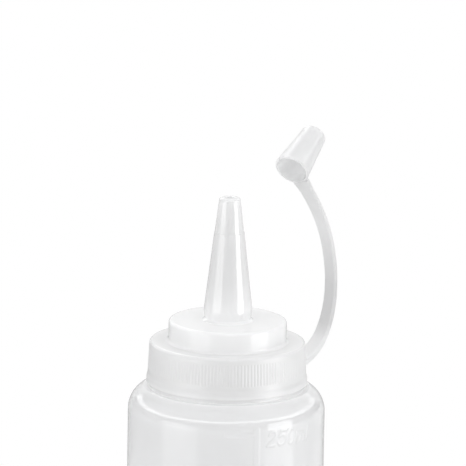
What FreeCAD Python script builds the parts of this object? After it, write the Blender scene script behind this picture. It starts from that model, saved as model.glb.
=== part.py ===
import FreeCAD, Part
import math
import os

# Squeeze bottle with a screw lid: a blown plastic body, and a lid moulded in one piece with its
# nozzle, its strap and the tip cap on the strap's end. Millimetres, +Z up. The bottle stands on
# z = 0 with its axis on the Z axis. The strap leaves the lid between +X and +Y.

V = FreeCAD.Vector
UP = V(0, 0, 1)

# Body
body_r = 26.5
body_wall = 0.9
side_h = 124.0
foot_round = 4.0
foot_ring_in = 8.0
foot_ring_round = 1.5
push_up = 2.5
push_up_in = 14.5
push_up_round = 4.0
shoulder_round = 7.0
shoulder_slope = 36.0
shelf_out = 0.75
shelf_round = 0.4

# Neck and its screw thread
neck_r = 17.5
neck_wall = 1.2
neck_foot_round = 1.0
neck_lip_round = 0.3
collar_in = 0.75
collar_gap = 0.3
collar_round = 0.25
thread_h = 1.2
thread_root_w = 1.9
thread_crest_w = 0.8
thread_pitch = 4.23
thread_sink = 0.3
thread_clear = 0.25
thread_up = 3.2
thread_down = 1.65

# Lid: skirt and top
skirt_gap = 1.2
skirt_h = 11.3
skirt_wall = 2.0
skirt_draft = 0.4
skirt_edge_round = 0.9
skirt_lip_round = 0.2
flange_out = 0.3
flange_h = 2.4
flange_round = 0.4
flange_slope_h = 1.0
flange_slope_round = 1.5
lid_wall = 1.3
inner_round = 0.5
rib_count = 144
rib_groove_depth = 0.14
rib_groove_w = 0.56
rib_groove_up = 1.6
rib_groove_down = 1.0

# Lid: drum and nozzle
seal_ledge = 1.7
drum_h = 5.75
drum_edge_round = 0.9
drum_foot_round = 0.8
nozzle_h = 33.6
nozzle_r = 6.5
nozzle_r_up = 3.0
nozzle_r_round = 6.0
nozzle_foot_in = 0.25
nozzle_foot_out = 0.35
nozzle_foot_h = 0.7
nozzle_foot_round = 0.25
nozzle_step_down = 9.4
nozzle_step = 0.1
nozzle_tip_r = 2.8
nozzle_tip_round = 0.6
nozzle_wall = 1.0
nozzle_hole_r = 1.3
nozzle_hole_round = 0.2
nozzle_land = 3.0

# Strap. Bends are its angles from level and widths its widths, at shares of its length. Twist
# turns it about its own direction, and sway turns it sideways, each from a share to the end.
strap_azimuth = 40.7
strap_length = 61.8
strap_thick = 1.65
strap_end_thick = 1.25
strap_corner = 0.35
strap_sink = 0.9
strap_bends = [
    (0.0, 2.5),
    (0.08, 18.5),
    (0.16, 37.4),
    (0.25, 60.9),
    (0.33, 73.5),
    (0.45, 88.1),
    (0.60, 101.5),
    (0.75, 112.0),
    (0.88, 118.1),
    (1.0, 122.6),
]
strap_widths = [
    (0.0, 6.1),
    (0.10, 5.7),
    (0.25, 4.3),
    (0.50, 3.7),
    (0.75, 3.9),
    (0.95, 4.1),
    (1.0, 5.0),
]
strap_twist = 17.0
strap_twist_from = 0.36
strap_sway = 13.0
strap_sway_from = 0.67
strap_sections = 36
steps_per_section = 12

# Tip cap, open at its mouth. Its bore grips the nozzle: its mouth at cap_grip_down below the tip,
# and its end by cap_squeeze.
cap_h = 14.8
cap_wall = 0.6
cap_end_wall = 0.9
cap_end_round = 0.9
cap_lip_round = 0.2
cap_grip_down = 12.0
cap_squeeze = 0.05

# Radii that follow from the sizes above
neck_bore_r = neck_r - neck_wall
skirt_bore_r = neck_r + thread_h + thread_clear
skirt_top_r = skirt_bore_r + skirt_wall
skirt_foot_r = skirt_top_r + skirt_draft
flange_r = skirt_foot_r + flange_out
shelf_r = flange_r + shelf_out
collar_r = flange_r - collar_in
drum_bore_r = neck_bore_r - seal_ledge
drum_r = drum_bore_r + lid_wall
nozzle_taper = (nozzle_r - nozzle_tip_r) / (nozzle_h - nozzle_r_up)
nozzle_step_r = nozzle_tip_r + nozzle_taper * nozzle_step_down
cap_mouth_bore_r = nozzle_tip_r + nozzle_taper * cap_grip_down
cap_end_bore_r = nozzle_tip_r - cap_squeeze
cap_mouth_r = cap_mouth_bore_r + cap_wall
cap_end_r = cap_end_bore_r + cap_wall

# The shoulder's slope and its round, which may take up to four fifths of the slope
slope = math.tan(math.radians(shoulder_slope))
half_turn = math.tan(math.radians(90 - shoulder_slope) / 2)
slope_length = (body_r - shelf_r) / math.cos(math.radians(shoulder_slope))
shoulder_r = min(shoulder_round, 0.8 * slope_length / half_turn)

# Levels
shoulder_z = side_h + shoulder_r * half_turn
shelf_z = shoulder_z + (body_r - shelf_r) * slope
skirt_z = shelf_z + skirt_gap
collar_z = skirt_z - collar_gap
flange_z = skirt_z + flange_h
skirt_top_z = skirt_z + skirt_h
rim_z = skirt_top_z - lid_wall
drum_top_z = skirt_top_z + drum_h
drum_roof_z = drum_top_z - lid_wall
tip_z = drum_top_z + nozzle_h
thread_start_z = shelf_z + thread_up
thread_end_z = rim_z - thread_down


def at(r, z):
    return V(r, 0, z)


def outline(corners):
    """Closed wire in the XZ plane. Each corner is (r, z, radius of its round)."""
    runs = []
    count = len(corners)
    for i in range(count):
        r, z, radius = corners[i]
        here = at(r, z)
        back = (at(*corners[i - 1][:2]) - here).normalize()
        ahead = (at(*corners[(i + 1) % count][:2]) - here).normalize()
        if radius == 0:
            runs.append((here, None, here))
            continue
        half = back.getAngle(ahead) / 2
        reach = radius / math.tan(half)
        middle = here + (back + ahead).normalize() * (radius / math.sin(half) - radius)
        runs.append((here + back * reach, middle, here + ahead * reach))
    edges = []
    for i in range(count):
        start, middle, end = runs[i]
        if middle is not None:
            edges.append(Part.Arc(start, middle, end).toShape())
        follow = runs[(i + 1) % count][0]
        if end.distanceToPoint(follow) > 1e-6:
            edges.append(Part.LineSegment(end, follow).toShape())
    return Part.Wire(edges)


def turned(corners):
    return Part.Face(outline(corners)).revolve(V(0, 0, 0), UP, 360)


def inset(corners, wall):
    """The open path of corners moved to its left by wall, with its rounds made to match."""
    lines = []
    for (r0, z0, _), (r1, z1, _) in zip(corners, corners[1:]):
        along = V(r1 - r0, 0, z1 - z0).normalize()
        left = V(-along.z, 0, along.x)
        lines.append((at(r0, z0) + left * wall, along))
    moved = []
    for (p, a), (q, b), (_, _, radius) in zip(lines, lines[1:], corners[1:]):
        cross = a.x * b.z - a.z * b.x
        gap = q - p
        reach = (gap.x * b.z - gap.z * b.x) / cross
        corner = p + a * reach
        inner = radius - wall if cross > 0 else radius + wall
        moved.append((corner.x, corner.z, max(inner, 0)))
    return moved


def thread_ridge(root_r, crest_r, start_z):
    """Helical ridge from the wall at root_r to crest_r, with its root sunk into that wall."""
    sunk_r = root_r - math.copysign(thread_sink, crest_r - root_r)
    points = [
        at(sunk_r, start_z - thread_root_w / 2),
        at(crest_r, start_z - thread_crest_w / 2),
        at(crest_r, start_z + thread_crest_w / 2),
        at(sunk_r, start_z + thread_root_w / 2),
    ]
    helix = Part.makeHelix(thread_pitch, thread_end_z - start_z, root_r)
    helix.translate(V(0, 0, start_z))
    profile = Part.makePolygon(points + points[:1])
    return Part.Wire(helix).makePipeShell([profile], True, True)


def bottle():
    shell = [
        (0, push_up, 0),
        (body_r - push_up_in, push_up, push_up_round),
        (body_r - foot_ring_in, 0, foot_ring_round),
        (body_r, 0, foot_round),
        (body_r, shoulder_z, shoulder_r),
        (shelf_r, shelf_z, shelf_round),
        (neck_r, shelf_z, neck_foot_round),
    ]
    inside = inset(shell, body_wall)
    corners = shell[:-1] + [
        (collar_r, shelf_z, 0),
        (collar_r, collar_z, collar_round),
        (neck_r, collar_z, neck_foot_round),
        (neck_r, rim_z, neck_lip_round),
        (neck_bore_r, rim_z, neck_lip_round),
        (neck_bore_r, inside[-1][1], neck_foot_round),
    ]
    corners += inside[::-1]
    corners.append((0, push_up + body_wall, 0))
    return turned(corners).fuse(thread_ridge(neck_r, neck_r + thread_h, thread_start_z))


def rib_grooves():
    """V-shaped grooves up the skirt's sloped wall, which leave the ribs between them."""
    low = at(skirt_foot_r, flange_z)
    high = at(skirt_top_r, skirt_top_z)
    up_wall = (high - low).normalize()
    out = V(up_wall.z, 0, -up_wall.x)
    start = low + up_wall * rib_groove_down
    length = low.distanceToPoint(high) - rib_groove_down - rib_groove_up
    valley = start - out * rib_groove_depth
    wide = V(0, rib_groove_w, 0)
    left = start + out * rib_groove_depth - wide
    right = start + out * rib_groove_depth + wide
    groove = Part.Face(Part.makePolygon([valley, left, right, valley])).extrude(up_wall * length)
    grooves = []
    for i in range(rib_count):
        copy = groove.copy()
        copy.rotate(V(0, 0, 0), UP, 360 * i / rib_count)
        grooves.append(copy)
    return grooves


def lid_top():
    corners = [
        (skirt_bore_r, skirt_z, skirt_lip_round),
        (flange_r, skirt_z, flange_round),
        (flange_r, flange_z - flange_slope_h, flange_slope_round),
        (skirt_foot_r, flange_z, flange_slope_round),
        (skirt_top_r, skirt_top_z, skirt_edge_round),
        (drum_r, skirt_top_z, drum_foot_round),
        (drum_r, drum_top_z, drum_edge_round),
        (nozzle_r + nozzle_foot_out, drum_top_z, nozzle_foot_round),
        (nozzle_r - nozzle_foot_in, drum_top_z + nozzle_foot_h, nozzle_foot_round),
        (nozzle_r, drum_top_z + nozzle_r_up, nozzle_r_round),
        (nozzle_step_r + nozzle_step, tip_z - nozzle_step_down, 0),
        (nozzle_step_r, tip_z - nozzle_step_down, 0),
        (nozzle_tip_r, tip_z, nozzle_tip_round),
        (nozzle_hole_r, tip_z, nozzle_hole_round),
        (nozzle_hole_r, tip_z - nozzle_land, 0),
        (nozzle_r - nozzle_wall, drum_roof_z, inner_round),
        (drum_bore_r, drum_roof_z, inner_round),
        (drum_bore_r, rim_z, 0),
        (skirt_bore_r, rim_z, 0),
    ]
    return turned(corners)


def between(table, share):
    for (s0, v0), (s1, v1) in zip(table, table[1:]):
        if share <= s1:
            return v0 + (v1 - v0) * (share - s0) / (s1 - s0)
    return table[-1][1]


def ramp(total, start, share):
    return total * max(0.0, share - start) / (1 - start)


def strap_frames():
    """Along the strap: its middle, its direction, its upper side's normal and its share."""
    turn = math.radians(strap_azimuth)
    outward = V(math.cos(turn), math.sin(turn), 0)
    bend = twist = sway = 0.0
    place = outward * (flange_r - strap_sink) + UP * (skirt_z + strap_thick / 2)
    along = outward
    normal = UP
    frames = []
    steps = strap_sections * steps_per_section
    for i in range(steps + 1):
        share = i / steps
        new_bend = between(strap_bends, share)
        new_twist = ramp(strap_twist, strap_twist_from, share)
        new_sway = ramp(strap_sway, strap_sway_from, share)
        turned_up = FreeCAD.Rotation(along.cross(normal), new_bend - bend)
        along = turned_up.multVec(along)
        normal = turned_up.multVec(normal)
        normal = FreeCAD.Rotation(along, new_twist - twist).multVec(normal)
        along = FreeCAD.Rotation(normal, new_sway - sway).multVec(along)
        bend, twist, sway = new_bend, new_twist, new_sway
        if i % steps_per_section == 0:
            frames.append((place, along, normal, share))
        place = place + along * (strap_length / steps)
    return frames


def strap_section(place, along, normal, share):
    """The strap's flat section at one frame, with rounded corners."""
    half_w = between(strap_widths, share) / 2
    half_t = (strap_thick + (strap_end_thick - strap_thick) * share) / 2
    signs = [(1, 1), (-1, 1), (-1, -1), (1, -1)]
    wire = outline([(u * half_w, v * half_t, strap_corner) for u, v in signs])
    turn = FreeCAD.Rotation(along.cross(normal), along, normal, "ZXY")
    wire.Placement = FreeCAD.Placement(place, turn)
    return wire


def strap_and_cap():
    frames = strap_frames()
    strap = Part.makeLoft([strap_section(*f) for f in frames], True, False)
    end, along, mouth, _ = frames[-1]
    outside = [
        (0, 0, 0),
        (cap_mouth_r, 0, cap_lip_round),
        (cap_end_r, cap_h, cap_end_round),
        (0, cap_h, 0),
    ]
    hollow = [
        (0, -cap_h, 0),
        (cap_mouth_bore_r, -cap_h, 0),
        (cap_mouth_bore_r, 0, 0),
        (cap_end_bore_r, cap_h - cap_end_wall, inner_round),
        (0, cap_h - cap_end_wall, 0),
    ]
    mouth_centre = end + along * (cap_mouth_r - cap_wall / 2) + mouth * (strap_end_thick / 2)
    side = along.cross(mouth)
    place = FreeCAD.Placement(mouth_centre, FreeCAD.Rotation(along, side, mouth * -1, "ZXY"))
    cap = turned(outside)
    bore = turned(hollow)
    cap.Placement = place
    bore.Placement = place
    return strap.fuse(cap).cut(bore)


def lid():
    """The lid. Its thread runs midway between the turns of the neck's."""
    start_z = thread_start_z + thread_pitch / 2
    ridge = thread_ridge(skirt_bore_r, neck_r + thread_clear, start_z)
    return lid_top().cut(rib_grooves()).fuse([ridge, strap_and_cap()])


os.makedirs("parts", exist_ok=True)
for node, shape in (("bottle", bottle()), ("lid", lid())):
    solid = shape.removeSplitter().Solids[0]
    solid.exportStep("parts/" + node + ".step")
    print(node, "solids:", len(shape.Solids), "valid:", solid.isValid(), "mm3:", round(solid.Volume))
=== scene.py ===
import math

import bpy
import numpy as np
from mathutils import Matrix, Quaternion, Vector


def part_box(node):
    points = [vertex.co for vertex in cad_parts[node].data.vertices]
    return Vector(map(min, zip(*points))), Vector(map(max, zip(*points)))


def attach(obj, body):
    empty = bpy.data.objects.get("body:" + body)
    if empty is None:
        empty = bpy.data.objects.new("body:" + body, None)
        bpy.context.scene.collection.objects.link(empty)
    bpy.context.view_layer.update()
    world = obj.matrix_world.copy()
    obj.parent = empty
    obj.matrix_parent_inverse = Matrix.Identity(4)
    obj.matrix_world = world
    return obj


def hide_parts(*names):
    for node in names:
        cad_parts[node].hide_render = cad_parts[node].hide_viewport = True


# A soft squeeze bottle and its one-piece lid. Shapes are worked out in millimetres, in the CAD's
# frame, and become metres as each mesh is made.
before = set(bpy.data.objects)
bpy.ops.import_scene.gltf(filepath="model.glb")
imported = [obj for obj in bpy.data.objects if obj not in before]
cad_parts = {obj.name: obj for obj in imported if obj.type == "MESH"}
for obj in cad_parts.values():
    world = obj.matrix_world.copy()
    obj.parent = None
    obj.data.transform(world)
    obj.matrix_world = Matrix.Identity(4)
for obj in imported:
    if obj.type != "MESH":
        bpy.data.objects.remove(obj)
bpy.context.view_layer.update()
MM = 0.001
UP = Vector((0, 0, 1))


def mm_box(node):
    low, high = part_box(node)
    return low / MM, high / MM


_, bottle_high = mm_box("bottle")
lid_low, lid_high = mm_box("lid")

# Body, with the CAD's sizes in millimetres. Its shoulder falls at that slope in degrees.
body_r = bottle_high.x
rim_z = bottle_high.z
side_h = 124.0
body_wall = 0.9
foot_round = 4.0
foot_ring_in = 8.0
foot_ring_round = 1.5
push_up = 2.5
push_up_in = 14.5
push_up_round = 4.0
shoulder_round = 7.0
shoulder_slope = 36.0
shelf_out = 0.75
shelf_round = 0.4
neck_r = 17.5
neck_wall = 1.2
neck_foot_round = 1.0
neck_lip_round = 0.3
collar_in = 0.75
collar_gap = 0.08
collar_round = 0.05
collar_foot_round = 0.35

# Screw thread
thread_h = 1.2
thread_root_w = 1.9
thread_crest_w = 0.8
thread_pitch = 4.23
thread_clear = 0.25
thread_up = 3.2
thread_down = 1.65
thread_run_out = math.radians(20)

# Rows of vertices for the thread: how far they go past it on the neck, how far they keep from
# the ends of the skirt's bore, and their spacing on each
thread_margin = 1.1
bore_rows_up = 0.5
bore_rows_down = 0.3
thread_row_step = 0.24
bore_row_step = 0.26

# Lid
skirt_z = lid_low.z
skirt_gap = 1.2
flange_h = 2.4
skirt_h = 11.3
flange_r = 21.65
flange_out = 0.3
flange_round = 0.25
flange_slope_h = 1.0
flange_slope_round = 1.5
skirt_draft = 0.4
skirt_edge_round = 0.9
skirt_lip_round = 0.2
lid_wall = 1.3
inner_round = 0.5
rib_count = 144
rib_depth = 0.1
rib_up = 1.6
rib_down = 1.0
rib_fade = 0.45
# Shares of half a rib's spacing where vertices stand, from the groove's middle to the rib's, and
# the share of the groove's depth there
rib_shares = (0.0, 0.27, 0.52, 0.74)
rib_depths = (1.0, 0.62, 0.2, 0.02)
seal_ledge = 1.7
drum_h = 5.75
drum_edge_round = 0.9
drum_foot_round = 0.8
nozzle_h = 33.6
nozzle_r = 6.5
nozzle_r_up = 3.0
nozzle_r_round = 6.0
nozzle_foot_in = 0.25
nozzle_foot_out = 0.35
nozzle_foot_h = 0.7
nozzle_foot_round = 0.25
nozzle_step_down = 9.4
nozzle_step = 0.1
nozzle_step_round = 0.04
nozzle_tip_r = 2.8
nozzle_tip_round = 0.6
nozzle_wall = 1.0
nozzle_hole_r = 1.3
nozzle_hole_round = 0.2
nozzle_land = 3.0

# Strap: angles from level, and widths, at shares of its length
strap_azimuth = 40.7
strap_length = 61.8
strap_thick = 1.65
strap_end_thick = 1.25
strap_corner = 0.35
strap_sink = 0.9
strap_bends = [
    (0.0, 2.5),
    (0.08, 18.5),
    (0.16, 37.4),
    (0.25, 60.9),
    (0.33, 73.5),
    (0.45, 88.1),
    (0.60, 101.5),
    (0.75, 112.0),
    (0.88, 118.1),
    (1.0, 122.6),
]
strap_widths = [
    (0.0, 6.1),
    (0.10, 5.7),
    (0.25, 4.3),
    (0.50, 3.7),
    (0.75, 3.9),
    (0.95, 4.1),
    (1.0, 5.0),
]
strap_twist = 17.0
strap_twist_from = 0.36
strap_sway = 13.0
strap_sway_from = 0.67
strap_steps = 432
steps_per_section = 4
strap_corner_steps = 4

# Tip cap
cap_h = 14.8
cap_wall = 0.6
cap_end_wall = 0.9
cap_end_round = 0.9
cap_lip_round = 0.2
cap_grip_down = 12.0
cap_squeeze = 0.05
cap_columns = 96
cap_row_step = 0.4
cap_chord = 0.05

# Sizes that follow
shoulder_z = side_h + shoulder_round * math.tan(math.radians(90 - shoulder_slope) / 2)
neck_bore_r = neck_r - neck_wall
skirt_bore_r = neck_r + thread_h + thread_clear
skirt_foot_r = flange_r - flange_out
skirt_top_r = skirt_foot_r - skirt_draft
shelf_r = flange_r + shelf_out
shelf_z = skirt_z - skirt_gap
collar_r = flange_r - collar_in
collar_z = skirt_z - collar_gap
flange_z = skirt_z + flange_h
skirt_top_z = skirt_z + skirt_h
drum_bore_r = neck_bore_r - seal_ledge
drum_r = drum_bore_r + lid_wall
drum_top_z = skirt_top_z + drum_h
drum_roof_z = drum_top_z - lid_wall
tip_z = drum_top_z + nozzle_h
nozzle_taper = (nozzle_r - nozzle_tip_r) / (nozzle_h - nozzle_r_up)
nozzle_step_r = nozzle_tip_r + nozzle_taper * nozzle_step_down
cap_mouth_bore_r = nozzle_tip_r + nozzle_taper * cap_grip_down
cap_end_bore_r = nozzle_tip_r - cap_squeeze
cap_mouth_r = cap_mouth_bore_r + cap_wall
cap_end_r = cap_end_bore_r + cap_wall
thread_start_z = shelf_z + thread_up
thread_end_z = rim_z - thread_down

# Fill scale moulded on the body: azimuths in degrees from the front, heights in millimetres, and
# widths as half a line's width
scale_full_z = 123.5
scale_full_ml = 250
scale_step_ml = 25
scale_per_ml = 0.4845
scale_line_at = 18.1
scale_line_up = 1.3
scale_line_half_w = 0.85
scale_tick_at = 0.6
scale_short_tick_at = 9.5
scale_text_at = 25.5
scale_rise = 0.1
scale_tick_half_w = 0.5
scale_stroke_half_w = 0.3
scale_edge_w = 0.5
digit_w = 2.2
digit_h = 3.9
digit_gap = 0.92
digit_slant = 0.18
digit_drop = 1.45
m_width = 1.4

# Vertices for the scale: the azimuths between which each of the body's columns is split in parts,
# the heights and the least radius of rows that carry it, the spacing of rows, and how far they go
# past a numeral and past a short tick
body_columns = 144
scale_from = scale_tick_at - 3
scale_to = 64
scale_column_parts = 7
scale_low_z = 8.0
scale_high_z = 127.0
scale_least_r = body_r - 1.2
scale_row_step = 0.23
numeral_margin = 1.4
tick_margin = 0.7
least_row_step = 0.1

# What counts as the same radius, the shortest run that takes rows, and the angle from which an
# edge is shaded sharp
near = 0.01
long_run = 3.0
sharp_angle = math.radians(38)


def smooth(x):
    """0 to 1 as x goes from 0 to 1, with level ends."""
    x = np.clip(x, 0, 1)
    return x * x * (3 - 2 * x)


# ---- Shapes turned round an axis ----

def rounded(corners, closed=False, chord=0.25, guard=0.12, least=0.02):
    """Points along corners (r, z, round), with each round as short chords and a guard point on
    each straight run beside it, so that shading stays flat on the run. Points closer than least
    to the last are left out."""
    points = []
    count = len(corners)
    for i, (r, z, radius) in enumerate(corners):
        here = Vector((r, z))
        if radius == 0 or (not closed and i in (0, count - 1)):
            points.append(here)
            continue
        back = (Vector(corners[i - 1][:2]) - here).normalized()
        ahead = (Vector(corners[(i + 1) % count][:2]) - here).normalized()
        half = back.angle(ahead) / 2
        reach = radius / math.tan(half)
        middle = here + (back + ahead).normalized() * (radius / math.sin(half))
        start = here + back * reach - middle
        sweep = math.pi - 2 * half
        steps = max(3, math.ceil(radius * sweep / chord))
        side = 1 if back.x * ahead.y - back.y * ahead.x < 0 else -1
        points.append(here + back * (reach + guard))
        for k in range(steps + 1):
            turn = side * sweep * k / steps
            c, s = math.cos(turn), math.sin(turn)
            points.append(middle + Vector((start.x * c - start.y * s, start.x * s + start.y * c)))
        points.append(here + ahead * (reach + guard))
    kept = points[:1]
    for p in points[1:]:
        if (p - kept[-1]).length > least:
            kept.append(p)
    return [(p.x, p.y) for p in kept]


def with_levels(path, levels, least=0.05):
    """The path with a point added at each of these heights that one of its runs crosses, unless
    that is within least of the run's ends."""
    made = path[:1]
    for (r0, z0), (r1, z1) in zip(path, path[1:]):
        low, high = sorted((z0, z1))
        between = sorted((z for z in levels if low + least < z < high - least), reverse=z1 < z0)
        made += [(r0 + (r1 - r0) * (z - z0) / (z1 - z0), z) for z in between]
        made.append((r1, z1))
    return made


def inset(corners, wall):
    """The open path of corners moved to its left by wall, with its rounds made to match."""
    lines = []
    for (r0, z0, _), (r1, z1, _) in zip(corners, corners[1:]):
        along = Vector((r1 - r0, z1 - z0)).normalized()
        lines.append((Vector((r0, z0)) + Vector((-along.y, along.x)) * wall, along))
    moved = []
    for (p, a), (q, b), (_, _, radius) in zip(lines, lines[1:], corners[1:]):
        cross = a.x * b.y - a.y * b.x
        gap = q - p
        corner = p + a * ((gap.x * b.y - gap.y * b.x) / cross)
        inner = radius - wall if cross > 0 else radius + wall
        moved.append((corner.x, corner.y, max(inner, 0)))
    return moved


def turned(rows, columns, loop=False):
    """Vertices and faces of rows turned round the Z axis. A row is (r, z, cuts, relief): cuts
    gives, for each column, the shares of it where a vertex stands, and relief moves the row's
    vertices out by what it gives for their azimuths and height."""
    verts, faces, rings = [], [], []
    for r, z, cuts, relief in rows:
        if r < 1e-6:
            rings.append(len(verts))
            verts.append((0.0, 0.0, z))
            continue
        shares = [cuts[i] if cuts else (0.0,) for i in range(columns)]
        turn = np.array([(i + f) for i in range(columns) for f in shares[i]])
        turn = turn * 2 * math.pi / columns
        out = r + (relief(turn, z) if relief else 0.0)
        first = len(verts)
        starts = np.cumsum([0] + [len(s) for s in shares]) + first
        verts += list(zip(out * np.cos(turn), out * np.sin(turn), np.full(len(turn), z)))
        ring = []
        for i in range(columns):
            following = starts[i + 1] if i + 1 < columns else first
            ring.append(list(range(starts[i], starts[i + 1])) + [following])
        rings.append(ring)
    pairs = list(zip(rings, rings[1:]))
    if loop:
        pairs.append((rings[-1], rings[0]))
    for low, high in pairs:
        for i in range(columns):
            if isinstance(low, int):
                a, b = [low], high[i]
            elif isinstance(high, int):
                a, b = low[i], [high]
            else:
                a, b = low[i], high[i]
            if len(a) == len(b):
                faces += [(a[k], a[k + 1], b[k + 1], b[k]) for k in range(len(a) - 1)]
            else:
                faces.append(tuple(a) + tuple(reversed(b)))
    return [tuple(float(x) for x in v) for v in verts], [tuple(int(k) for k in f) for f in faces]


def mesh_object(name, verts, faces, place=None):
    """An object in the scene from vertices in millimetres, moved by place if there is one."""
    mesh = bpy.data.meshes.new(name)
    mesh.from_pydata([Vector(v) * MM for v in verts], [], faces)
    if place is not None:
        mesh.transform(place)
    obj = bpy.data.objects.new(name, mesh)
    bpy.context.scene.collection.objects.link(obj)
    return obj


def helix_rise(turn, z, start_z, end_z):
    """Height of the thread's ridge at azimuths turn and height z: a helix that rises with the
    azimuth from start_z to end_z, and runs out at both ends."""
    rise = np.zeros_like(turn)
    turns = (end_z - start_z) / thread_pitch
    for lap in range(int(turns) + 1):
        along = turn / (2 * math.pi) + lap
        inside = (along <= turns + 1e-9)
        off = np.abs(z - start_z - along * thread_pitch)
        flank = (thread_root_w / 2 - off) / ((thread_root_w - thread_crest_w) / 2)
        ends = np.minimum(along, turns - along) * 2 * math.pi / thread_run_out
        rise = np.maximum(rise, np.where(inside, smooth(flank) * smooth(ends) * thread_h, 0))
    return rise


# ---- Fill scale ----

def arc(x, y, rx, ry, start, end, steps=14):
    """Points on an ellipse round (x, y), between two angles in degrees."""
    turns = np.radians(np.linspace(start, end, steps + 1))
    return [(x + rx * math.cos(t), y + ry * math.sin(t)) for t in turns]


# Strokes of the numerals and letters, in shares of their width and height
GLYPHS = {
    "0": [arc(0.5, 0.5, 0.5, 0.5, 0, 360, 28)],
    "1": [[(0.15, 0.76), (0.58, 1.0), (0.58, 0.0)]],
    "2": [arc(0.49, 0.71, 0.47, 0.29, 165, -35) + [(0.02, 0.0), (1.0, 0.0)]],
    "5": [[(0.95, 1.0), (0.2, 1.0), (0.1, 0.56)] + arc(0.47, 0.33, 0.5, 0.33, 128, -150)],
    "m": [
        [(0.0, 0.62), (0.0, 0.0)],
        [(0.0, 0.4)] + arc(0.25, 0.42, 0.25, 0.2, 170, 0, 8) + [(0.5, 0.0)],
        [(0.5, 0.4)] + arc(0.75, 0.42, 0.25, 0.2, 170, 0, 8) + [(1.0, 0.0)],
    ],
    "l": [[(0.1, 1.0), (0.1, 0.0)]],
}


def scale_marks():
    """The marks from the lowest up: millilitres, height, and whether the mark is a long one."""
    foot_z = scale_full_z - scale_full_ml * scale_per_ml
    for ml in range(scale_step_ml, scale_full_ml + 1, scale_step_ml):
        yield ml, foot_z + ml * scale_per_ml, ml % (2 * scale_step_ml) == 0


def scale_strokes():
    """Strokes of the scale on the unrolled body, from the front and the table: each is half its
    width and its line of (distance round, height)."""
    def round_at(degrees):
        return math.radians(degrees) * body_r

    marks = list(scale_marks())
    line_u = round_at(scale_line_at)
    line = [(line_u, scale_full_z + scale_line_up), (line_u, marks[0][1])]
    strokes = [(scale_line_half_w, line)]
    for ml, z, long in marks:
        start_u = round_at(scale_tick_at if long else scale_short_tick_at)
        strokes.append((scale_tick_half_w, [(start_u, z), (line_u, z)]))
        if not long:
            continue
        u = round_at(scale_text_at)
        for letter in str(ml) + "ml":
            low = z - digit_drop - digit_h / 2
            width = digit_w * (m_width if letter == "m" else 1)
            for line in GLYPHS[letter]:
                strokes.append((scale_stroke_half_w, [
                    (u + width * x + digit_slant * digit_h * (y - 0.5), low + digit_h * y)
                    for x, y in line
                ]))
            u += width + digit_gap
    return strokes


def stroke_cover(u, z, strokes):
    """How far each point lies inside the nearest stroke's edge. Strokes out of reach of the
    height z are passed over."""
    reach = 1.5
    best = np.full(u.shape, -99.0)
    for half, line in strokes:
        for (u0, z0), (u1, z1) in zip(line, line[1:]):
            if min(z0, z1) - reach > z or max(z0, z1) + reach < z:
                continue
            du, dz = u1 - u0, z1 - z0
            share = np.clip(((u - u0) * du + (z - z0) * dz) / (du * du + dz * dz), 0, 1)
            best = np.maximum(best, half - np.hypot(u - u0 - share * du, z - z0 - share * dz))
    return best


STROKES = scale_strokes()
FRONT = -math.pi / 2


def scale_rise_at(turn, z):
    """How far the scale stands out of the body at azimuths turn and height z."""
    u = ((turn - FRONT + math.pi) % (2 * math.pi) - math.pi) * body_r
    return scale_rise * smooth(stroke_cover(u, z, STROKES) / scale_edge_w + 0.5)


# ---- Bottle ----

def bottle_corners():
    """Its outline (r, z, round): from the middle of the push-up out, up to the rim, and back
    down the inside."""
    shell = [
        (0, push_up, 0),
        (body_r - push_up_in, push_up, push_up_round),
        (body_r - foot_ring_in, 0, foot_ring_round),
        (body_r, 0, foot_round),
        (body_r, shoulder_z, shoulder_round),
        (shelf_r, shelf_z, shelf_round),
        (neck_r, shelf_z, neck_foot_round),
    ]
    inside = inset(shell, body_wall)
    lip = [
        (collar_r, shelf_z, collar_foot_round),
        (collar_r, collar_z, collar_round),
        (neck_r, collar_z, neck_foot_round),
        (neck_r, rim_z, neck_lip_round),
        (neck_bore_r, rim_z, neck_lip_round),
        (neck_bore_r, inside[-1][1], neck_foot_round),
    ]
    return shell[:-1] + lip + inside[::-1] + [(0, push_up + body_wall, 0)]


def bottle_levels():
    """Heights where its outside needs a row of vertices for the scale or the thread."""
    levels = {round(z, 3) for _, line in STROKES for _, z in line}
    for _, z, long in scale_marks():
        half = digit_h / 2 + numeral_margin if long else tick_margin
        middle = z - digit_drop / 2 if long else z
        steps = round(2 * half / scale_row_step)
        levels |= {middle - half + 2 * half * k / steps for k in range(steps + 1)}
    low, high = thread_start_z - thread_margin, thread_end_z + thread_margin
    levels |= set(np.arange(low, high, thread_row_step))
    spread = []
    for z in sorted(levels):
        if not spread or z - spread[-1] > least_row_step:
            spread.append(z)
    return spread


def bottle_thread(turn, z):
    return helix_rise(turn, z, thread_start_z, thread_end_z)


def bottle_piece():
    front = math.degrees(FRONT) % 360
    first, last = (
        math.floor((front + azimuth) / 360 * body_columns) for azimuth in (scale_from, scale_to))
    whole = (0.0,)
    parts = tuple(k / scale_column_parts for k in range(scale_column_parts))
    fine = [parts if first <= i <= last else whole for i in range(body_columns)]
    path = rounded(bottle_corners())
    top = max(range(len(path)), key=lambda i: (path[i][1], path[i][0]))
    outer, inner = path[:top + 1], path[top + 1:]
    rows = []
    for r, z in with_levels(outer, bottle_levels()):
        if r > scale_least_r and scale_low_z < z < scale_high_z:
            rows.append((r, z, fine, scale_rise_at))
        elif r < neck_r + near and z > skirt_z:
            rows.append((r, z, None, bottle_thread))
        else:
            rows.append((r, z, None, None))
    rows += [(r, z, None, None) for r, z in inner]
    verts, faces = turned(rows, body_columns)
    return mesh_object("bottle_shell", verts, faces)


# ---- Lid ----

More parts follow.
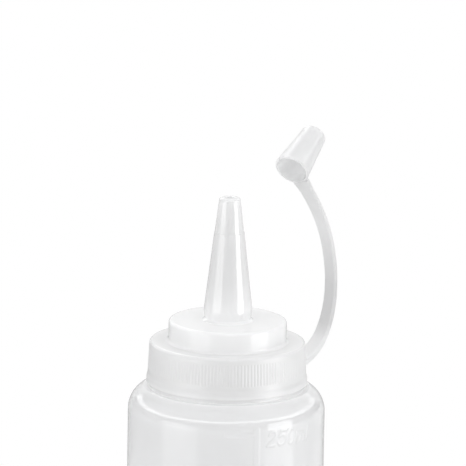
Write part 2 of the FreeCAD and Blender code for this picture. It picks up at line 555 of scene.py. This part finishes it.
def rib_relief(turn, z):
    """How far the grooves between ribs sink the skirt at azimuths turn and height z."""
    spacing = 2 * math.pi / rib_count
    off = np.abs((turn / spacing + 0.5) % 1.0 - 0.5) * 2
    depth = np.interp(off, rib_shares + (1.0,), rib_depths + (0.0,))
    low, high = flange_z + rib_down, skirt_top_z - rib_up
    ends = smooth((z - low) / rib_fade) * smooth((high - z) / rib_fade)
    return -rib_depth * depth * ends


def lid_thread(turn, z):
    return -helix_rise(turn, z, thread_start_z + thread_pitch / 2, thread_end_z)


def lid_corners():
    """The closed outline (r, z, round) of skirt, drum and nozzle: up the outside from the
    skirt's foot, and back down the inside."""
    return [
        (skirt_bore_r, skirt_z, skirt_lip_round),
        (flange_r, skirt_z, flange_round),
        (flange_r, flange_z - flange_slope_h, flange_slope_round),
        (skirt_foot_r, flange_z, flange_slope_round),
        (skirt_top_r, skirt_top_z, skirt_edge_round),
        (drum_r, skirt_top_z, drum_foot_round),
        (drum_r, drum_top_z, drum_edge_round),
        (nozzle_r + nozzle_foot_out, drum_top_z, nozzle_foot_round),
        (nozzle_r - nozzle_foot_in, drum_top_z + nozzle_foot_h, nozzle_foot_round),
        (nozzle_r, drum_top_z + nozzle_r_up, nozzle_r_round),
        (nozzle_step_r + nozzle_step, tip_z - nozzle_step_down, nozzle_step_round),
        (nozzle_step_r, tip_z - nozzle_step_down, 0),
        (nozzle_tip_r, tip_z, nozzle_tip_round),
        (nozzle_hole_r, tip_z, nozzle_hole_round),
        (nozzle_hole_r, tip_z - nozzle_land, 0),
        (nozzle_r - nozzle_wall, drum_roof_z, inner_round),
        (drum_bore_r, drum_roof_z, inner_round),
        (drum_bore_r, rim_z, 0),
        (skirt_bore_r, rim_z, 0),
    ]


def rib_rows(r0, z0, r1, z1):
    """Rows of the skirt's ribs on its side from (r0, z0) up to (r1, z1)."""
    falling = tuple(1 - s for s in reversed(rib_shares[1:]))
    ribbed = [rib_shares, (0.0,) + falling] * rib_count
    low, high = flange_z + rib_down, skirt_top_z - rib_up
    levels = [low, low + rib_fade / 3, low + 2 * rib_fade / 3]
    levels += list(np.linspace(low + rib_fade, high - rib_fade, 5))
    levels += [high - 2 * rib_fade / 3, high - rib_fade / 3, high]
    rows = []
    for z in levels:
        r = r0 + (r1 - r0) * ((z - z0) / (z1 - z0))
        rows.append((r, z, ribbed, rib_relief) if low < z < high else (r, z, None, None))
    return rows


def lid_body():
    """Skirt, drum and nozzle."""
    path = rounded(lid_corners(), closed=True)
    levels = np.arange(skirt_z + bore_rows_up, rim_z - bore_rows_down, bore_row_step)
    rows = []
    for (r, z), (next_r, next_z) in zip(path, path[1:] + path[:1]):
        rows.append((r, z, None, None))
        on_skirt = min(r, next_r) > skirt_top_r - near
        in_bore = abs(r - skirt_bore_r) < near and abs(next_r - skirt_bore_r) < near
        if on_skirt and next_z - z > long_run:
            rows += rib_rows(r, z, next_r, next_z)
        elif in_bore and z - next_z > long_run:
            rows += [(r, level, None, lid_thread) for level in reversed(levels)]
    verts, faces = turned(rows, 2 * rib_count, loop=True)
    return mesh_object("lid_shell", verts, faces)


def between(table, share):
    """The value at that share in a table of (share, value)."""
    for (s0, v0), (s1, v1) in zip(table, table[1:]):
        if share <= s1:
            return v0 + (v1 - v0) * (share - s0) / (s1 - s0)
    return table[-1][1]


def ramp(total, start, share):
    """What has come in at that share of a total that comes in evenly from start."""
    return total * max(0.0, share - start) / (1 - start)


def strap_frames():
    """Along the strap: its middle, its direction, its upper side's normal and its share."""
    azimuth = math.radians(strap_azimuth)
    outward = Vector((math.cos(azimuth), math.sin(azimuth), 0))
    bend = twist = sway = 0.0
    place = outward * (flange_r - strap_sink) + UP * (skirt_z + strap_thick / 2)
    along = outward.copy()
    normal = UP.copy()
    frames = []
    for i in range(strap_steps + 1):
        share = i / strap_steps
        new_bend = between(strap_bends, share)
        new_twist = ramp(strap_twist, strap_twist_from, share)
        new_sway = ramp(strap_sway, strap_sway_from, share)
        lift = Quaternion(along.cross(normal), math.radians(new_bend - bend))
        along = lift @ along
        normal = lift @ normal
        normal = Quaternion(along, math.radians(new_twist - twist)) @ normal
        along = Quaternion(normal, math.radians(new_sway - sway)) @ along
        bend, twist, sway = new_bend, new_twist, new_sway
        if i % steps_per_section == 0:
            frames.append((place.copy(), along.copy(), normal.copy(), share))
        place = place + along * (strap_length / strap_steps)
    return frames


def strap_piece(frames):
    """The strap's flat section with rounded corners, swept along its frames."""
    verts, faces = [], []
    for place, along, normal, share in frames:
        half_w = between(strap_widths, share) / 2 - strap_corner
        half_t = (strap_thick + (strap_end_thick - strap_thick) * share) / 2 - strap_corner
        side = along.cross(normal)
        for quarter, (u, v) in enumerate([(1, 1), (-1, 1), (-1, -1), (1, -1)]):
            for k in range(strap_corner_steps + 1):
                turn = math.pi / 2 * (quarter + k / strap_corner_steps)
                across = u * half_w + strap_corner * math.cos(turn)
                through = v * half_t + strap_corner * math.sin(turn)
                verts.append(place + side * across + normal * through)
    ring = 4 * (strap_corner_steps + 1)
    for i in range(len(frames) - 1):
        for k in range(ring):
            a, b = i * ring + k, i * ring + (k + 1) % ring
            faces.append((a, b, b + ring, a + ring))
    faces.append(tuple(reversed(range(ring))))
    faces.append(tuple(range((len(frames) - 1) * ring, len(frames) * ring)))
    return mesh_object("strap", verts, faces)


def split(path, step):
    """The path with points added so that none of its sides is longer than step."""
    done = [path[0]]
    for (r0, z0), (r1, z1) in zip(path, path[1:]):
        parts = max(1, math.ceil(math.hypot(r1 - r0, z1 - z0) / step))
        for k in range(1, parts + 1):
            done.append((r0 + (r1 - r0) * k / parts, z0 + (z1 - z0) * k / parts))
    return done


def cap_solids(frames):
    """The tip cap's outside and its hollow, in their place at the strap's end."""
    end, along, mouth, _ = frames[-1]
    centre = end + along * (cap_mouth_r - cap_wall / 2) + mouth * (strap_end_thick / 2)
    axes = Matrix((along, along.cross(mouth), -mouth)).transposed()
    place = Matrix.Translation(centre * MM) @ axes.to_4x4()
    outside = rounded([
        (0, 0, 0),
        (cap_mouth_r, 0, cap_lip_round),
        (cap_end_r, cap_h, cap_end_round),
        (0, cap_h, 0),
    ], chord=cap_chord)
    hollow = rounded([
        (0, -cap_h, 0),
        (cap_mouth_bore_r, -cap_h, 0),
        (cap_mouth_bore_r, 0, 0),
        (cap_end_bore_r, cap_h - cap_end_wall, inner_round),
        (0, cap_h - cap_end_wall, 0),
    ], chord=cap_chord)
    made = []
    for name, path in (("cap_outside", outside), ("cap_hollow", hollow)):
        rows = [(r, z, None, None) for r, z in split(path, cap_row_step)]
        verts, faces = turned(rows, cap_columns)
        made.append(mesh_object(name, verts, faces, place))
    return made


def combine(obj, other, operation):
    """Applies a boolean of other to obj, and removes other."""
    cut = obj.modifiers.new("combine", "BOOLEAN")
    cut.operation = operation
    cut.solver = "MANIFOLD"
    cut.object = other
    graph = bpy.context.evaluated_depsgraph_get()
    mesh = bpy.data.meshes.new_from_object(obj.evaluated_get(graph))
    obj.modifiers.clear()
    obj.data = mesh
    bpy.data.objects.remove(other)


def lid_piece():
    """Skirt, drum and nozzle, joined with the strap and the tip cap."""
    lid = lid_body()
    frames = strap_frames()
    strap = strap_piece(frames)
    outside, hollow = cap_solids(frames)
    combine(strap, outside, "UNION")
    combine(strap, hollow, "DIFFERENCE")
    combine(lid, strap, "UNION")
    return lid


def finish_mesh(obj, material, node):
    """Gives the piece its material, its shading, and its place in the frame."""
    obj.data.materials.clear()
    obj.data.materials.append(material)
    for polygon in obj.data.polygons:
        polygon.use_smooth = True
    obj.data.set_sharp_from_angle(angle=sharp_angle)
    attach(obj, "root")
    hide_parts(node)


# ---- Node trees ----

class Nodes:
    """The node tree of a material or a world, built with short calls."""

    def __init__(self, owner):
        owner.use_nodes = True
        self.tree = owner.node_tree
        self.tree.nodes.clear()

    def feed(self, socket, value):
        """Links an output to the socket, or sets the socket's value."""
        if isinstance(value, bpy.types.NodeSocket):
            self.tree.links.new(value, socket)
        else:
            socket.default_value = value

    def add(self, kind, **inputs):
        """A node of that kind. inputs feeds its sockets by name, with _ for a space."""
        made = self.tree.nodes.new(kind)
        for name, value in inputs.items():
            self.feed(made.inputs[name.replace("_", " ")], value)
        return made

    def add_fed(self, kind, *values):
        """A node of that kind, with its first sockets fed in order."""
        made = self.tree.nodes.new(kind)
        for socket, value in zip(made.inputs, values):
            self.feed(socket, value)
        return made

    def math(self, operation, a, b):
        made = self.add_fed("ShaderNodeMath", a, b)
        made.operation = operation
        return made.outputs[0]

    def length(self, vector):
        made = self.add_fed("ShaderNodeVectorMath", vector)
        made.operation = "LENGTH"
        return made.outputs["Value"]

    def step(self, value, low, high):
        """0 to 1, smoothly, as the value goes from low to high."""
        made = self.add("ShaderNodeMapRange", Value=value, From_Min=low, From_Max=high)
        made.interpolation_type = "SMOOTHSTEP"
        return made.outputs["Result"]

    def blend(self, first, second, share):
        rest = self.math("SUBTRACT", 1.0, share)
        first, second = self.math("MULTIPLY", first, rest), self.math("MULTIPLY", second, share)
        return self.math("ADD", first, second)

    def ramp(self, value, stops):
        """Greys that follow stops (position, level)."""
        made = self.add("ShaderNodeValToRGB", Fac=value)
        elements = made.color_ramp.elements
        while len(elements) < len(stops):
            elements.new(0.5)
        for element, (position, level) in zip(elements, stops):
            element.position = position
            element.color = [level] * 3 + [1]
        return made.outputs["Color"]

    def by_height(self, height, stops):
        """A value that follows stops (height in metres, value)."""
        low, high = stops[0][0], stops[-1][0]
        share = self.add("ShaderNodeMapRange", Value=height, From_Min=low, From_Max=high)
        stops = [((z - low) / (high - low), value) for z, value in stops]
        return self.ramp(share.outputs["Result"], stops)

    def mixed(self, share, first, second):
        """The mix of two shaders."""
        return self.add_fed("ShaderNodeMixShader", share, first, second).outputs[0]


# ---- Materials ----

# Milky plastic: colours, refractive indices, share of light passed through, roughnesses, and the
# colours' strength by part, which is painted shade and light: on the lid a darker skirt band, a
# darker nozzle middle with a lighter foot and tip, a darker strap with lighter ends and a darker
# cap; the bottle has none.
bottle_colour = (0.92, 0.921, 0.923)
lid_colour = (0.96, 0.961, 0.963)
bottle_index = 1.5
lid_index = 1.6
bottle_milk = 0.75
neck_milk = 0.3
lid_milk = 0.3
cap_milk = 0.6
bottle_rough = 0.06
lid_rough = 0.04
skirt_rough = 0.36
cap_rough = 0.33
neck_tone = 1.0
# Painted shade: the skirt's band from the flange up to the grip's top is darker than the rest of
# the lid
skirt_painted_shade = 0.92
# Painted shade and light: the nozzle's middle is darker, its foot by the drum's top stays lighter
# as painted light, and its tip is a little lighter
nozzle_painted_shade = 0.92
tip_painted_shade = 0.97
# Painted shade: the strap is darkest low down, lighter at its bend, and lighter still at its root
# and its end
strap_root_painted_shade = 0.96
strap_painted_shade = 0.84
strap_bend_painted_shade = 0.92
strap_end_painted_shade = 0.96
# Painted shade: the tip cap is darker than the nozzle
cap_painted_shade = 0.925

# Unevenness: how dark the colour's clouds get and where in their noise, how far the grain moves
# the roughness and between which of its values, and the reliefs of waves and grain in metres
cloud_dark = 0.965
cloud_range = (0.25, 0.75)
rough_spread = 0.15
grain_range = (0.3, 0.7)
bottle_waves = 0.00008
lid_waves = 0.00004
grain_relief = 0.00003
grain_strength = 0.05

# Heights in metres where the looks change, from the table up
foot = skirt_z * MM
tip = tip_z * MM
top = lid_high.z * MM
rim = rim_z * MM
shelf = shelf_z * MM
shelf_edge = shelf - 0.0006
shelf_top = shelf - 0.0001
lip_end = foot + 0.0004
flange_middle = foot + 0.0012
grip_end = (skirt_top_z + 0.3) * MM
grip_fade = grip_end - 0.0008
drum_top = drum_top_z * MM
cone_foot = drum_top + 0.003
cone_low = drum_top + 0.011
cone_high = drum_top + 0.022
cap_low = tip + 0.003
cap_clear = tip + 0.004
strap_root = foot + 0.007
strap_low = foot + 0.011
strap_middle = drum_top + 0.004
strap_bend = drum_top + 0.014
strap_high = drum_top + 0.021
strap_end = drum_top + 0.03

# Distance from the axis past which only the strap and the cap stand, and half its fade
far_r = (flange_r + 0.2) * MM
far_fade = 0.0003


def plastic(name, colour, index, milk, cloud, grain, wave, relief, painted_shades, rough, far_painted_shades):
    """Milky plastic with a soft gloss. cloud, grain and wave are noise scales, and relief the
    height of the waves. milk, the share of light that passes through it scattered, the colour's
    strength, which is painted shade and light by height, and the roughness rough are each (height
    in metres, value), and the last argument is the painted shade on what stands out further than
    far_r."""
    material = bpy.data.materials.new(name)
    nodes = Nodes(material)
    place = nodes.add("ShaderNodeTexCoord").outputs["Object"]
    split = nodes.add("ShaderNodeSeparateXYZ", Vector=place)
    height = split.outputs["Z"]

    def noise(scale, detail, roughness):
        made = nodes.add("ShaderNodeTexNoise", Vector=place, Scale=scale, Detail=detail,
                         Roughness=roughness)
        return made.outputs["Fac"]

    flat = nodes.add("ShaderNodeCombineXYZ", X=split.outputs["X"], Y=split.outputs["Y"])
    far = nodes.add("ShaderNodeMapRange", Value=nodes.length(flat.outputs["Vector"]),
                    From_Min=far_r - far_fade, From_Max=far_r + far_fade)
    # Painted shade and light: the colour's strength by height, one table near the axis and one
    # for the strap and the cap
    painted_shade = nodes.add("ShaderNodeMix")
    near_painted_shade, far_painted_shade = nodes.by_height(height, painted_shades), nodes.by_height(height, far_painted_shades)
    for socket, value in ((0, far.outputs["Result"]), (2, near_painted_shade), (3, far_painted_shade)):
        nodes.feed(painted_shade.inputs[socket], value)

    tint = nodes.add("ShaderNodeValToRGB", Fac=noise(cloud, 3.0, 0.55))
    ends = zip(tint.color_ramp.elements, cloud_range, (cloud_dark, 1.0))
    for element, position, strength in ends:
        element.position = position
        element.color = [c * strength for c in colour] + [1]
    shade = nodes.add_fed("ShaderNodeVectorMath", tint.outputs["Color"])
    shade.operation = "SCALE"
    nodes.feed(shade.inputs["Scale"], painted_shade.outputs["Result"])
    colour_out = shade.outputs["Vector"]

    specks = noise(grain, 2.0, 0.6)
    uneven = nodes.add("ShaderNodeMapRange", Value=specks, From_Min=grain_range[0],
                       From_Max=grain_range[1], To_Min=1 - rough_spread, To_Max=1 + rough_spread)
    gloss = nodes.math("MULTIPLY", uneven.outputs["Result"], nodes.by_height(height, rough))
    broad = nodes.add("ShaderNodeBump", Height=noise(wave, 2.0, 0.5), Strength=1.0,
                      Distance=relief)
    fine = nodes.add("ShaderNodeBump", Height=specks, Normal=broad.outputs["Normal"],
                     Strength=grain_strength, Distance=grain_relief)
    normal = fine.outputs["Normal"]

    solid = nodes.add("ShaderNodeBsdfDiffuse", Color=colour_out, Normal=normal)
    passed = nodes.add("ShaderNodeBsdfTranslucent", Color=colour_out, Normal=normal)
    base = nodes.mixed(nodes.by_height(height, milk), solid.outputs["BSDF"],
                       passed.outputs["BSDF"])
    shine = nodes.add("ShaderNodeBsdfGlossy", Roughness=gloss, Normal=normal)
    edge = nodes.add("ShaderNodeFresnel", IOR=index)
    inside = nodes.add("ShaderNodeNewGeometry").outputs["Backfacing"]
    share = nodes.math("MULTIPLY", edge.outputs["Fac"], nodes.math("SUBTRACT", 1.0, inside))
    look = nodes.mixed(share, base, shine.outputs["BSDF"])
    nodes.add("ShaderNodeOutputMaterial", Surface=look)
    return material


def bottle_plastic():
    return plastic(
        "bottle_plastic", bottle_colour, bottle_index, cloud=28.0, grain=900.0, wave=60.0,
        relief=bottle_waves,
        milk=[(0.0, bottle_milk), (shelf_edge, bottle_milk), (shelf_top, neck_milk),
              (rim, neck_milk)],
        painted_shades=[(0.0, 1.0), (shelf_edge, 1.0), (shelf, neck_tone), (rim, neck_tone)],
        rough=[(0.0, bottle_rough), (rim, bottle_rough)],
        far_painted_shades=[(0.0, 1.0), (rim, 1.0)])


# The lid's colour strengths are painted shade and light on parts of one plastic
def lid_plastic():
    return plastic(
        "lid_plastic", lid_colour, lid_index, cloud=40.0, grain=1200.0, wave=90.0,
        relief=lid_waves,
        milk=[(foot, lid_milk), (tip, lid_milk), (cap_clear, cap_milk), (top, cap_milk)],
        painted_shades=[(foot, 1.0), (lip_end, 1.0), (flange_middle, skirt_painted_shade), (grip_fade, skirt_painted_shade),
               (grip_end, 1.0), (cone_foot, 1.0), (cone_low, nozzle_painted_shade),
               (cone_high, nozzle_painted_shade), (tip, tip_painted_shade), (cap_low, cap_painted_shade), (top, cap_painted_shade)],
        rough=[(foot, skirt_rough), (grip_fade, skirt_rough), (grip_end, lid_rough),
               (tip, lid_rough), (cap_low, cap_rough), (top, cap_rough)],
        far_painted_shades=[(foot, strap_root_painted_shade), (strap_root, strap_root_painted_shade),
                   (strap_low, strap_painted_shade), (strap_middle, strap_painted_shade),
                   (strap_bend, strap_bend_painted_shade), (strap_high, strap_end_painted_shade),
                   (strap_end, cap_painted_shade), (top, cap_painted_shade)])


finish_mesh(bottle_piece(), bottle_plastic(), "bottle")
finish_mesh(lid_piece(), lid_plastic(), "lid")


# ---- Lamps ----

# Softboxes, in metres: their distances as light and in reflections, their foot and their top as
# light, and the foot of their image in the table
lamp_distance = 0.56
seen_distance = 0.52
lamp_foot = 0.035
lamp_top = 0.34
image_foot = -0.12


def area_lamp(name, azimuth, distance, width, low, high, radiance, kind):
    """A soft upright lamp round the Z axis, at that azimuth clockwise from the camera's side,
    which only this kind of ray reaches."""
    a = math.radians(azimuth)
    towards = Vector((math.sin(a), -math.cos(a), 0))
    data = bpy.data.lights.new(name, "AREA")
    data.shape = "RECTANGLE"
    data.size, data.size_y = width, high - low
    data.energy = radiance * math.pi * width * (high - low)
    lamp = bpy.data.objects.new(name, data)
    lamp.location = towards * distance + UP * (low + high) / 2
    lamp.rotation_mode = "QUATERNION"
    lamp.rotation_quaternion = towards.to_track_quat("Z", "Y")
    lamp.visible_camera = False
    lamp.visible_glossy = kind == "glossy"
    lamp.visible_diffuse = kind == "diffuse"
    lamp.visible_transmission = kind == "diffuse"
    bpy.context.scene.collection.objects.link(lamp)


def softbox(name, azimuth, width, image_width, top, lit, seen, mirrored):
    """A soft lamp on the table: the light it gives, how bright reflections show it, and how
    bright they show its image in the table below it."""
    area_lamp(name + "_light", azimuth, lamp_distance, width, lamp_foot, lamp_top, lit,
              "diffuse")
    area_lamp(name + "_front", azimuth, seen_distance, width, lamp_foot, top, seen, "glossy")
    area_lamp(name + "_image", azimuth, seen_distance, image_width, image_foot, lamp_foot,
              mirrored, "glossy")


softbox("left_softbox", azimuth=-55, width=0.43, image_width=0.41, top=0.215, lit=1.75, seen=2.6,
        mirrored=1.4)
softbox("right_softbox", azimuth=65, width=0.31, image_width=0.36, top=0.28, lit=2.35, seen=5.5,
        mirrored=2.4)


# ---- Floor ----

floor_reach = 0.42
floor_fade_from = 0.4
floor_fade_to = 0.98
floor_white = (0.9, 0.9, 0.9, 1)
floor_spokes = 96
floor_rings = 10


def floor_disc():
    verts, faces = [(0.0, 0.0, 0.0)], []
    for ring in range(1, floor_rings + 1):
        r = floor_reach / MM * ring / floor_rings
        turns = [2 * math.pi * k / floor_spokes for k in range(floor_spokes)]
        verts += [(r * math.cos(t), r * math.sin(t), 0) for t in turns]
    for k in range(floor_spokes):
        n = (k + 1) % floor_spokes
        faces.append((0, 1 + k, 1 + n))
        for ring in range(floor_rings - 1):
            a, b = 1 + ring * floor_spokes, 1 + (ring + 1) * floor_spokes
            faces.append((a + k, b + k, b + n, a + n))
    return mesh_object("floor", verts, faces)


def make_floor():
    """A white disc that fades into the white around it."""
    floor = floor_disc()
    material = bpy.data.materials.new("floor_white")
    nodes = Nodes(material)
    distance = nodes.length(nodes.add("ShaderNodeTexCoord").outputs["Object"])
    fade = nodes.step(distance, floor_reach * floor_fade_from, floor_reach * floor_fade_to)
    white = nodes.add("ShaderNodeBsdfDiffuse", Color=floor_white)
    clear = nodes.add("ShaderNodeBsdfTransparent")
    look = nodes.mixed(fade, white.outputs["BSDF"], clear.outputs["BSDF"])
    nodes.add("ShaderNodeOutputMaterial", Surface=look)
    floor.data.materials.append(material)


make_floor()


# ---- World ----

# Light round the object, as (sine of the elevation, level): the sides, a ring and the top. Then
# the light that shines through the object.
light_levels = [(0.0, 0.48), (0.38, 0.48), (0.42, 1.1), (0.62, 1.1), (0.68, 1.3), (1.0, 1.3)]
passed_light = 0.5

# What reflections show in each direction, X to the right, Y away from the camera and Z up. A
# pair says from where to where along an axis a level comes in. The table, which is brighter to
# the right and again at its far right:
table_front = 0.85
table_back = 0.6
table_back_y = (-0.2, 0.3)
table_right = 0.75
table_right_x = (0.3, 0.65)
table_edge = 0.6
table_edge_x = (0.88, 0.96)
# The dark above it, and the bright ring, whose two edges are each (height, rise with X, rise
# with Y, half its fade):
dark = 0.1
ring_front = 5.0
ring_behind = 2.4
ring_behind_y = (0.1, 0.6)
ring_low_edge = (0.35, 0.02, -0.17, 0.02)
ring_high_edge = (0.5, 0.03, -0.16, 0.03)
# What is above the ring, with a bright band behind on the left, and the white backdrop:
tops_left = 0.3
tops_right = 1.0
tops_right_x = (0.0, 0.4)
band = 4.5
band_left_x = (-0.44, -0.34)
band_right_x = (-0.2, -0.06)
band_y = (0.45, 0.6)
backdrop = 1.0
backdrop_y = (0.8, 0.88)


def reflected(nodes, x, y, z):
    """The level that reflections show in the direction x, y, z."""
    def past(edge):
        height, by_x, by_y, fade = edge
        line = nodes.math("ADD", height, nodes.math("MULTIPLY", x, by_x))
        line = nodes.math("ADD", line, nodes.math("MULTIPLY", y, by_y))
        return nodes.step(nodes.math("SUBTRACT", z, line), -fade, fade)

    def more(level, axis, span, extra):
        gain = nodes.math("MULTIPLY", nodes.step(axis, *span), extra)
        return nodes.math("ADD", level, gain)

    table = nodes.blend(table_front, table_back, nodes.step(y, *table_back_y))
    table = more(table, x, table_right_x, table_right)
    table = more(table, x, table_edge_x, table_edge)
    tops = nodes.blend(tops_left, tops_right, nodes.step(x, *tops_right_x))
    in_band = nodes.math("SUBTRACT", 1.0, nodes.step(x, *band_right_x))
    in_band = nodes.math("MULTIPLY", in_band, nodes.step(x, *band_left_x))
    in_band = nodes.math("MULTIPLY", in_band, nodes.step(y, *band_y))
    tops = nodes.blend(tops, band, in_band)
    ring = nodes.blend(ring_front, ring_behind, nodes.step(y, *ring_behind_y))
    sky = nodes.blend(dark, ring, past(ring_low_edge))
    sky = nodes.blend(sky, tops, past(ring_high_edge))
    sky = nodes.blend(sky, backdrop, nodes.step(y, *backdrop_y))
    return nodes.blend(table, sky, nodes.math("GREATER_THAN", z, 0.0))


def make_world():
    """White to the camera, light_levels as light, and the studio in reflections."""
    world = bpy.data.worlds.new("studio")
    bpy.context.scene.world = world
    nodes = Nodes(world)
    direction = nodes.add("ShaderNodeTexCoord").outputs["Generated"]
    split = nodes.add_fed("ShaderNodeSeparateXYZ", direction)
    x, y, z = split.outputs
    path = nodes.add("ShaderNodeLightPath")
    camera = path.outputs["Is Camera Ray"]
    glossy = path.outputs["Is Glossy Ray"]

    peak = max(level for _, level in light_levels)
    shares = nodes.ramp(z, [(at, level / peak) for at, level in light_levels])
    light = nodes.math("SUBTRACT", 1.0, glossy)
    light = nodes.math("MULTIPLY", light, nodes.math("MULTIPLY", shares, peak))
    passed = nodes.math("MULTIPLY", path.outputs["Is Transmission Ray"], passed_light)
    light = nodes.math("ADD", light, passed)
    shown = nodes.math("MULTIPLY", glossy, reflected(nodes, x, y, z))
    unseen = nodes.math("SUBTRACT", 1.0, camera)
    strength = nodes.math("MULTIPLY", unseen, nodes.math("ADD", light, shown))
    background = nodes.add("ShaderNodeBackground", Color=(1, 1, 1, 1),
                           Strength=nodes.math("ADD", camera, strength))
    nodes.add("ShaderNodeOutputWorld", Surface=background.outputs["Background"])


make_world()


# ---- Camera ----

# Its pitch and its roll, its distance, the width it shows there and the point it looks at
camera_pitch = math.radians(13.3)
camera_roll = math.radians(1.0)
camera_distance = 2.0
camera_width = 0.1248326
camera_target = Vector((0.000985, 0, 0.17265))
camera_sensor = 36


def make_camera():
    back = Vector((0, -math.cos(camera_pitch), math.sin(camera_pitch)))
    level_right = Vector((1, 0, 0))
    level_up = Vector((0, math.sin(camera_pitch), math.cos(camera_pitch)))
    right = level_right * math.cos(camera_roll) + level_up * math.sin(camera_roll)
    up = level_up * math.cos(camera_roll) - level_right * math.sin(camera_roll)
    data = bpy.data.cameras.new("camera")
    data.sensor_width = camera_sensor
    data.lens = camera_sensor * camera_distance / camera_width
    data.clip_end = 20
    camera = bpy.data.objects.new("camera", data)
    turn = Matrix((right, up, back)).transposed().to_4x4()
    camera.matrix_world = Matrix.Translation(camera_target + back * camera_distance) @ turn
    bpy.context.scene.collection.objects.link(camera)
    return camera


bpy.context.scene.camera = make_camera()
bpy.context.scene.view_settings.view_transform = "Standard"
bpy.context.scene.cycles.max_bounces = 16
bpy.context.scene.cycles.diffuse_bounces = 12
bpy.context.scene.cycles.transmission_bounces = 16
